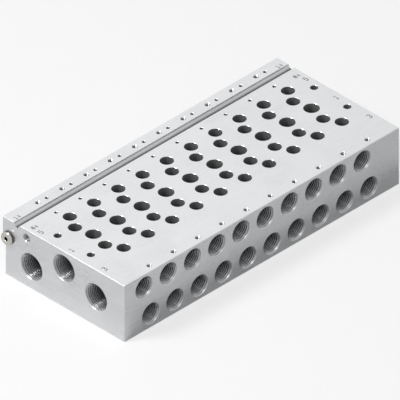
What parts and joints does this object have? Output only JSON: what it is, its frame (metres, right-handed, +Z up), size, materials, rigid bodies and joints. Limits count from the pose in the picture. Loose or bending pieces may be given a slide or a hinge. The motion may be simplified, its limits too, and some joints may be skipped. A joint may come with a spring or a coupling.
{
  "type": "manifold rail",
  "caption": "Long drilled metal block with a flat deck for a row of pneumatic valves, threaded ports in both ends and rows of threaded outlets along the front.",
  "frame": {"origin": "middle of the four mounting holes, on the base face, under the centre line of supply gallery 1", "axes": "+X along the rail from the end with the blanking plug to the other, +Y from the outlet face to the back, +Z up out of the valve deck"},
  "size_m": [0.2179, 0.0956, 0.0382],
  "materials": {
    "block": "natural anodised, satin, with fine lines along the rail",
    "plug": "nickel plated, turned",
    "seal": "matt black"
  },
  "bodies": {
    "root": {"manifold_block": "block", "blanking_plug": "plug", "plug_seal": "seal"}
  },
  "joints": []
}
